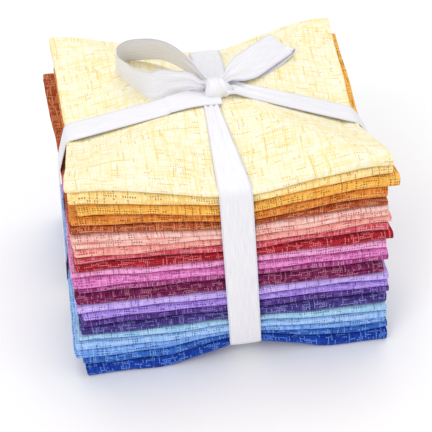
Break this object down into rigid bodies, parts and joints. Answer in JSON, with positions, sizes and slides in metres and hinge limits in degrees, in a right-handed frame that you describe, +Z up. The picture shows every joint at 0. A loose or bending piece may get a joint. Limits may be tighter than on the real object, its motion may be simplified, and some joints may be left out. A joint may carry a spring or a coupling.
{
  "type": "fat quarter bundle",
  "caption": "Tied bundle of folded quilting cotton cuts in a pile that shades from yellow to blue, held both ways by a white satin ribbon with a bow on top.",
  "frame": {"origin": "middle of the bundle's box, on the surface that it rests on", "axes": "+Z up; -Y is the front, with the large rounded folds; +X is the right side seen from the front"},
  "size_m": [0.163, 0.1456, 0.13],
  "materials": {
    "cotton_cream": "matte printed quilting cotton",
    "cotton_lemon": "matte printed quilting cotton",
    "cotton_gold": "matte printed quilting cotton",
    "cotton_orange": "matte printed quilting cotton",
    "cotton_rust": "matte printed quilting cotton",
    "cotton_blush": "matte printed quilting cotton",
    "cotton_salmon": "matte printed quilting cotton",
    "cotton_coral": "matte printed quilting cotton",
    "cotton_crimson": "matte printed quilting cotton",
    "cotton_shell": "matte printed quilting cotton",
    "cotton_orchid": "matte printed quilting cotton",
    "cotton_magenta": "matte printed quilting cotton",
    "cotton_wine": "matte printed quilting cotton",
    "cotton_lilac": "matte printed quilting cotton",
    "cotton_lavender": "matte printed quilting cotton",
    "cotton_violet": "matte printed quilting cotton",
    "cotton_plum": "matte printed quilting cotton",
    "cotton_aqua": "matte printed quilting cotton",
    "cotton_powder": "matte printed quilting cotton",
    "cotton_sky": "matte printed quilting cotton",
    "cotton_azure": "matte printed quilting cotton",
    "cotton_royal": "matte printed quilting cotton",
    "satin_ribbon": "soft satin"
  },
  "bodies": {
    "root": {"cut_01_cream": "cotton_cream", "cut_02_lemon": "cotton_lemon", "cut_03_gold": "cotton_gold", "cut_04_orange": "cotton_orange", "cut_05_rust": "cotton_rust", "cut_06_blush": "cotton_blush", "cut_07_salmon": "cotton_salmon", "cut_08_coral": "cotton_coral", "cut_09_crimson": "cotton_crimson", "cut_10_shell": "cotton_shell", "cut_11_orchid": "cotton_orchid", "cut_12_magenta": "cotton_magenta", "cut_13_wine": "cotton_wine", "cut_14_lilac": "cotton_lilac", "cut_15_lavender": "cotton_lavender", "cut_16_violet": "cotton_violet", "cut_17_plum": "cotton_plum", "cut_18_aqua": "cotton_aqua", "cut_19_powder": "cotton_powder", "cut_20_sky": "cotton_sky", "cut_21_azure": "cotton_azure", "cut_22_royal": "cotton_royal", "ribbon_side_band": "satin_ribbon", "ribbon_front_band": "satin_ribbon", "ribbon_knot": "satin_ribbon", "ribbon_left_loop": "satin_ribbon", "ribbon_right_loop": "satin_ribbon"}
  },
  "joints": []
}
